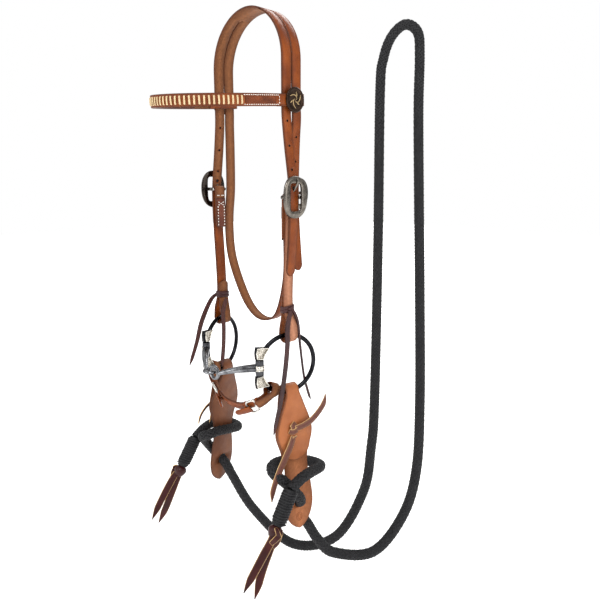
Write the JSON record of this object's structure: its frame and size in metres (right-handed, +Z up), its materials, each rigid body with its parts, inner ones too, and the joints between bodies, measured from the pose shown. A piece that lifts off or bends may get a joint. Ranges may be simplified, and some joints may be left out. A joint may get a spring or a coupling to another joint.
{
  "type": "bridle",
  "caption": "Western browband bridle with split crown and throatlatch, ring snaffle bit, curb strap, slobber straps and a round braided loop rein.",
  "frame": {"origin": "axis of the crown arch, on the bridle's centre plane, halfway across the crown strap", "axes": "+Z up from the bit to the crown, -Y towards the horse's forehead, +X out of the horse's near side"},
  "size_m": [0.3417, 0.4601, 0.9186],
  "materials": {
    "bridle_leather": "oiled",
    "saddle_leather": "smooth",
    "latigo": "waxed",
    "rawhide": "dry",
    "black_cord": "braided",
    "black_steel": "satin",
    "silver": "engraved",
    "nickel": "polished",
    "antique_nickel": "antiqued"
  },
  "bodies": {
    "headstall": {"crown": "bridle_leather", "near_cheek_strap": "bridle_leather", "far_cheek_strap": "bridle_leather", "near_cheek_buckle": "antique_nickel", "far_cheek_buckle": "antique_nickel", "throat_buckle": "antique_nickel", "near_cheek_bar": "antique_nickel", "far_cheek_bar": "antique_nickel", "throat_bar": "antique_nickel", "near_cheek_thong": "latigo", "far_cheek_thong": "latigo"},
    "browband": {"browband": "bridle_leather", "browband_lining": "bridle_leather", "browband_lacing": "rawhide", "near_overlay": "latigo", "far_overlay": "latigo"},
    "near_concho": {"near_concho": "antique_nickel", "near_concho_screw": "antique_nickel"},
    "far_concho": {"far_concho": "antique_nickel", "far_concho_screw": "antique_nickel"},
    "near_cheek_tongue": {"near_cheek_tongue": "antique_nickel"},
    "far_cheek_tongue": {"far_cheek_tongue": "antique_nickel"},
    "throat_tongue": {"throat_tongue": "antique_nickel"},
    "bit": {"near_ring": "black_steel", "far_ring": "black_steel", "near_trim": "silver", "far_trim": "silver"},
    "near_cannon": {"near_cannon": "black_steel", "near_cannon_band": "silver"},
    "far_cannon": {"far_cannon": "black_steel", "far_cannon_band": "silver"},
    "curb": {"curb_strap": "bridle_leather", "near_curb_buckle": "nickel", "far_curb_buckle": "nickel", "near_curb_tip": "bridle_leather", "far_curb_tip": "bridle_leather"},
    "near_curb_tongue": {"near_curb_tongue": "nickel"},
    "far_curb_tongue": {"far_curb_tongue": "nickel"},
    "rein": {"near_slobber": "saddle_leather", "far_slobber": "saddle_leather", "near_slobber_thong": "latigo", "far_slobber_thong": "latigo", "rein_rope": "black_cord", "near_whipping": "black_cord", "far_whipping": "black_cord"},
    "near_popper": {"near_popper": "latigo"},
    "far_popper": {"far_popper": "latigo"}
  },
  "joints": [
    {"name": "browband_slide", "type": "slide", "parent": "headstall", "child": "browband", "axis": [0, 0, 1], "range_m": [-0.004, 0.012], "stiffness_N_per_m": 300},
    {"name": "near_concho_turn", "type": "hinge", "parent": "browband", "child": "near_concho", "pos_m": [0.0828, 0, -0.055], "axis": [0.9981, 0, -0.061], "continuous": true},
    {"name": "far_concho_turn", "type": "hinge", "parent": "browband", "child": "far_concho", "pos_m": [-0.08249, 0, -0.04489], "axis": [0.9981, 0, -0.061], "continuous": true},
    {"name": "near_cheek_tongue_lift", "type": "hinge", "parent": "headstall", "child": "near_cheek_tongue", "pos_m": [0.08291, -0.00975, -0.188], "axis": [0, 1, 0], "range_deg": [0, 60], "stiffness_Nm_per_rad": 0.02},
    {"name": "far_cheek_tongue_lift", "type": "hinge", "parent": "headstall", "child": "far_cheek_tongue", "pos_m": [-0.08225, -0.00975, -0.178], "axis": [0, -1, 0], "range_deg": [0, 60], "stiffness_Nm_per_rad": 0.02},
    {"name": "throat_tongue_lift", "type": "hinge", "parent": "headstall", "child": "throat_tongue", "pos_m": [0.0646, 0.00975, -0.183], "axis": [0, 1, 0], "range_deg": [0, 60], "stiffness_Nm_per_rad": 0.02},
    {"name": "bit_swing", "type": "hinge", "parent": "headstall", "child": "bit", "pos_m": [0, -0.015, -0.391], "axis": [1, 0, 0], "range_deg": [-1.4, 14]},
    {"name": "near_cannon_hinge", "type": "hinge", "parent": "bit", "child": "near_cannon", "pos_m": [0.0668, -0.0577, -0.436], "axis": [0, 0, 1], "range_deg": [-2, 2]},
    {"name": "far_cannon_hinge", "type": "hinge", "parent": "bit", "child": "far_cannon", "pos_m": [-0.0668, -0.0577, -0.436], "axis": [0, 0, 1], "range_deg": [-2, 2]},
    {"name": "curb_swing", "type": "hinge", "parent": "bit", "child": "curb", "pos_m": [0, -0.0395, -0.47286], "axis": [1, 0, 0], "range_deg": [-12, 3]},
    {"name": "near_curb_tongue_lift", "type": "hinge", "parent": "curb", "child": "near_curb_tongue", "pos_m": [0.05168, -0.0495, -0.4943], "axis": [0, -0.9063, 0.4226], "range_deg": [0, 60], "stiffness_Nm_per_rad": 0.005},
    {"name": "far_curb_tongue_lift", "type": "hinge", "parent": "curb", "child": "far_curb_tongue", "pos_m": [-0.05168, -0.0495, -0.4943], "axis": [0, 0.9063, -0.4226], "range_deg": [0, 60], "stiffness_Nm_per_rad": 0.005},
    {"name": "rein_swing", "type": "hinge", "parent": "bit", "child": "rein", "pos_m": [0, -0.015, -0.481], "axis": [1, 0, 0], "range_deg": [-1.3, 10]},
    {"name": "near_popper_swing", "type": "hinge", "parent": "rein", "child": "near_popper", "pos_m": [0.12445, -0.08321, -0.66816], "axis": [0.9839, -0.1383, 0.1132], "range_deg": [-30, 30]},
    {"name": "far_popper_swing", "type": "hinge", "parent": "rein", "child": "far_popper", "pos_m": [-0.12445, -0.08321, -0.66816], "axis": [0.9839, 0.1383, -0.1132], "range_deg": [-30, 30]}
  ],
  "couplings": [
    {"joint": "far_cannon_hinge", "follows": "near_cannon_hinge", "ratio": -1}
  ]
}
